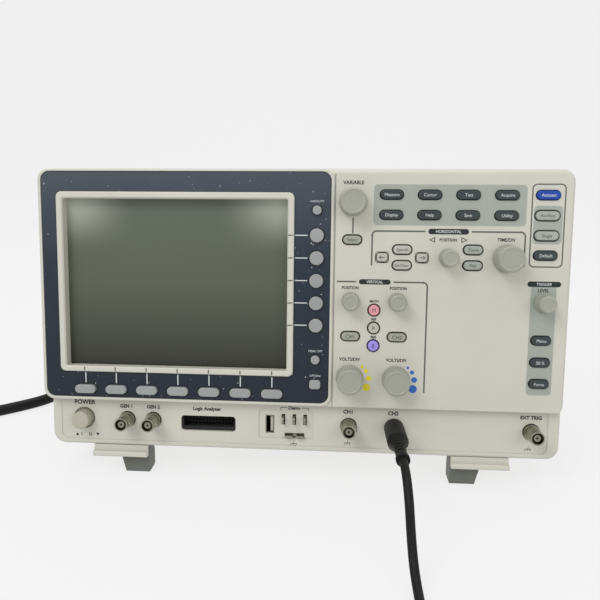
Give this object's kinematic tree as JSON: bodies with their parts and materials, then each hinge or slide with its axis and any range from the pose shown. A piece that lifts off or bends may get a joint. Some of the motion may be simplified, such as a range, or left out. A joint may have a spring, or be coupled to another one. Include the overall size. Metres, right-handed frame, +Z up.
{
  "type": "oscilloscope",
  "caption": "Bench digital oscilloscope leaning on two fold-out front legs, with screen, keys, knobs, front jacks, mains lead and patch lead.",
  "frame": {"origin": "middle of the instrument's footprint on the standing surface, measured without the two leads", "axes": "+X to the user's right along the longest extent, +Y away from the user, +Z up; the user faces the -Y side"},
  "size_m": [0.5829, 0.5395, 0.2262],
  "materials": {
    "case_beige": "fine grained moulding",
    "case_grey": "fine grained moulding",
    "navy_plate": "satin film",
    "screen_glass": "hazy matte window, switched off",
    "inner_metal": "brushed",
    "circuit_board": "solder mask",
    "black_plastic": "satin",
    "white_plastic": "smooth",
    "nickel": "satin nickel",
    "foot_grey": "grained",
    "screw_steel": "zinc plated",
    "cord_black": "matte cable jacket",
    "knob_grey": "soft satin",
    "key_light": "silicone satin",
    "key_silver": "satin",
    "key_dark": "satin",
    "key_blue": "satin",
    "key_yellow": "lit key cap",
    "key_cyan": "satin"
  },
  "bodies": {
    "case": {"front_bezel": "case_beige", "display_bezel": "navy_plate", "screen_frame": "case_beige", "screen_window": "screen_glass", "lcd_module": "inner_metal", "rear_cover": "case_grey", "chassis_frame": "inner_metal", "main_board": "circuit_board", "key_board": "circuit_board", "rotary_encoders": "inner_metal", "power_supply": "circuit_board", "fan_housing": "black_plastic", "bnc_sockets": "nickel", "bnc_insulators": "white_plastic", "logic_probe_socket": "black_plastic", "usb_host_port": "nickel", "demo_terminals": "nickel", "mains_inlet": "black_plastic", "rear_ports": "nickel", "rear_feet": "foot_grey", "front_feet": "foot_grey", "case_screws": "screw_steel", "mains_connector": "cord_black", "mains_cord": "cord_black", "mains_coil": "cord_black", "mains_plug": "cord_black", "patch_plug": "cord_black", "patch_cable": "cord_black", "patch_coil": "cord_black", "patch_far_plug": "cord_black"},
    "soft_keys_bottom": {"soft_keys_bottom": "key_silver"},
    "soft_keys_side": {"soft_keys_side": "key_silver"},
    "display_keys": {"display_keys": "key_silver"},
    "select_key": {"select_key": "key_light"},
    "menu_keys_upper": {"menu_keys_upper": "key_light"},
    "menu_keys_lower": {"menu_keys_lower": "key_light"},
    "autoset_key": {"autoset_key": "key_blue"},
    "run_stop_key": {"run_stop_key": "key_light"},
    "single_key": {"single_key": "key_light"},
    "default_key": {"default_key": "key_dark"},
    "arrow_keys": {"arrow_keys": "key_light"},
    "search_keys": {"search_keys": "key_light"},
    "zoom_keys": {"zoom_keys": "key_light"},
    "channel_1_key": {"channel_1_key": "key_yellow"},
    "channel_2_key": {"channel_2_key": "key_cyan"},
    "function_keys": {"function_keys": "key_light"},
    "trigger_keys": {"trigger_keys": "key_light"},
    "power_button": {"power_button": "case_beige"},
    "knob_variable": {"knob_variable": "knob_grey"},
    "knob_horizontal_position": {"knob_horizontal_position": "knob_grey"},
    "knob_time_scale": {"knob_time_scale": "knob_grey"},
    "knob_channel_1_position": {"knob_channel_1_position": "knob_grey"},
    "knob_channel_2_position": {"knob_channel_2_position": "knob_grey"},
    "knob_channel_1_scale": {"knob_channel_1_scale": "knob_grey"},
    "knob_channel_2_scale": {"knob_channel_2_scale": "knob_grey"},
    "knob_trigger_level": {"knob_trigger_level": "knob_grey"},
    "fan_rotor": {"fan_rotor": "black_plastic"},
    "tilt_leg_left": {"tilt_leg_left": "foot_grey"},
    "tilt_leg_right": {"tilt_leg_right": "foot_grey"},
    "carry_handle": {"carry_handle": "foot_grey"}
  },
  "joints": [
    {"name": "soft_keys_bottom_press", "type": "slide", "parent": "case", "child": "soft_keys_bottom", "axis": [0, 0.9925, -0.1219], "range_m": [0, 0.0008], "stiffness_N_per_m": 2800},
    {"name": "soft_keys_side_press", "type": "slide", "parent": "case", "child": "soft_keys_side", "axis": [0, 0.9925, -0.1219], "range_m": [0, 0.0008], "stiffness_N_per_m": 2000},
    {"name": "display_keys_press", "type": "slide", "parent": "case", "child": "display_keys", "axis": [0, 0.9925, -0.1219], "range_m": [0, 0.0008], "stiffness_N_per_m": 1200},
    {"name": "select_key_press", "type": "slide", "parent": "case", "child": "select_key", "axis": [0, 0.9925, -0.1219], "range_m": [0, 0.0008], "stiffness_N_per_m": 400},
    {"name": "menu_keys_upper_press", "type": "slide", "parent": "case", "child": "menu_keys_upper", "axis": [0, 0.9925, -0.1219], "range_m": [0, 0.0008], "stiffness_N_per_m": 1600},
    {"name": "menu_keys_lower_press", "type": "slide", "parent": "case", "child": "menu_keys_lower", "axis": [0, 0.9925, -0.1219], "range_m": [0, 0.0008], "stiffness_N_per_m": 1600},
    {"name": "autoset_key_press", "type": "slide", "parent": "case", "child": "autoset_key", "axis": [0, 0.9925, -0.1219], "range_m": [0, 0.0008], "stiffness_N_per_m": 400},
    {"name": "run_stop_key_press", "type": "slide", "parent": "case", "child": "run_stop_key", "axis": [0, 0.9925, -0.1219], "range_m": [0, 0.0008], "stiffness_N_per_m": 400},
    {"name": "single_key_press", "type": "slide", "parent": "case", "child": "single_key", "axis": [0, 0.9925, -0.1219], "range_m": [0, 0.0008], "stiffness_N_per_m": 400},
    {"name": "default_key_press", "type": "slide", "parent": "case", "child": "default_key", "axis": [0, 0.9925, -0.1219], "range_m": [0, 0.0008], "stiffness_N_per_m": 400},
    {"name": "arrow_keys_press", "type": "slide", "parent": "case", "child": "arrow_keys", "axis": [0, 0.9925, -0.1219], "range_m": [0, 0.0008], "stiffness_N_per_m": 800},
    {"name": "search_keys_press", "type": "slide", "parent": "case", "child": "search_keys", "axis": [0, 0.9925, -0.1219], "range_m": [0, 0.0008], "stiffness_N_per_m": 800},
    {"name": "zoom_keys_press", "type": "slide", "parent": "case", "child": "zoom_keys", "axis": [0, 0.9925, -0.1219], "range_m": [0, 0.0008], "stiffness_N_per_m": 800},
    {"name": "channel_1_key_press", "type": "slide", "parent": "case", "child": "channel_1_key", "axis": [0, 0.9925, -0.1219], "range_m": [0, 0.0008], "stiffness_N_per_m": 400},
    {"name": "channel_2_key_press", "type": "slide", "parent": "case", "child": "channel_2_key", "axis": [0, 0.9925, -0.1219], "range_m": [0, 0.0008], "stiffness_N_per_m": 400},
    {"name": "function_keys_press", "type": "slide", "parent": "case", "child": "function_keys", "axis": [0, 0.9925, -0.1219], "range_m": [0, 0.0008], "stiffness_N_per_m": 1200},
    {"name": "trigger_keys_press", "type": "slide", "parent": "case", "child": "trigger_keys", "axis": [0, 0.9925, -0.1219], "range_m": [0, 0.0008], "stiffness_N_per_m": 1200},
    {"name": "power_button_press", "type": "slide", "parent": "case", "child": "power_button", "axis": [0, 0.9925, -0.1219], "range_m": [0, 0.003], "stiffness_N_per_m": 500},
    {"name": "knob_variable_turn", "type": "hinge", "parent": "case", "child": "knob_variable", "pos_m": [0.0378, -0.05718, 0.20464], "axis": [0, -0.9925, 0.1219], "continuous": true},
    {"name": "knob_horizontal_position_turn", "type": "hinge", "parent": "case", "child": "knob_horizontal_position", "pos_m": [0.104, -0.06179, 0.16712], "axis": [0, -0.9925, 0.1219], "continuous": true},
    {"name": "knob_time_scale_turn", "type": "hinge", "parent": "case", "child": "knob_time_scale", "pos_m": [0.1437, -0.06179, 0.16712], "axis": [0, -0.9925, 0.1219], "continuous": true},
    {"name": "knob_channel_1_position_turn", "type": "hinge", "parent": "case", "child": "knob_channel_1_position", "pos_m": [0.0374, -0.06559, 0.13615], "axis": [0, -0.9925, 0.1219], "continuous": true},
    {"name": "knob_channel_2_position_turn", "type": "hinge", "parent": "case", "child": "knob_channel_2_position", "pos_m": [0.07, -0.06559, 0.13615], "axis": [0, -0.9925, 0.1219], "continuous": true},
    {"name": "knob_channel_1_scale_turn", "type": "hinge", "parent": "case", "child": "knob_channel_1_scale", "pos_m": [0.0376, -0.07236, 0.08106], "axis": [0, -0.9925, 0.1219], "continuous": true},
    {"name": "knob_channel_2_scale_turn", "type": "hinge", "parent": "case", "child": "knob_channel_2_scale", "pos_m": [0.0703, -0.07236, 0.08106], "axis": [0, -0.9925, 0.1219], "continuous": true},
    {"name": "knob_trigger_level_turn", "type": "hinge", "parent": "case", "child": "knob_trigger_level", "pos_m": [0.1697, -0.0655, 0.13695], "axis": [0, -0.9925, 0.1219], "continuous": true},
    {"name": "fan_spin", "type": "hinge", "parent": "case", "child": "fan_rotor", "pos_m": [0.11, 0.05838, 0.12012], "axis": [0, 0.9925, -0.1219], "continuous": true},
    {"name": "tilt_leg_left_fold", "type": "hinge", "parent": "case", "child": "tilt_leg_left", "pos_m": [-0.1234, -0.05802, 0.01734], "axis": [1, 0, 0], "range_deg": [0, 90]},
    {"name": "tilt_leg_right_fold", "type": "hinge", "parent": "case", "child": "tilt_leg_right", "pos_m": [0.1234, -0.05802, 0.01734], "axis": [1, 0, 0], "range_deg": [0, 90]},
    {"name": "carry_handle_swing", "type": "hinge", "parent": "case", "child": "carry_handle", "pos_m": [0, 0.03864, 0.21373], "axis": [-1, 0, 0], "range_deg": [0, 100]}
  ]
}
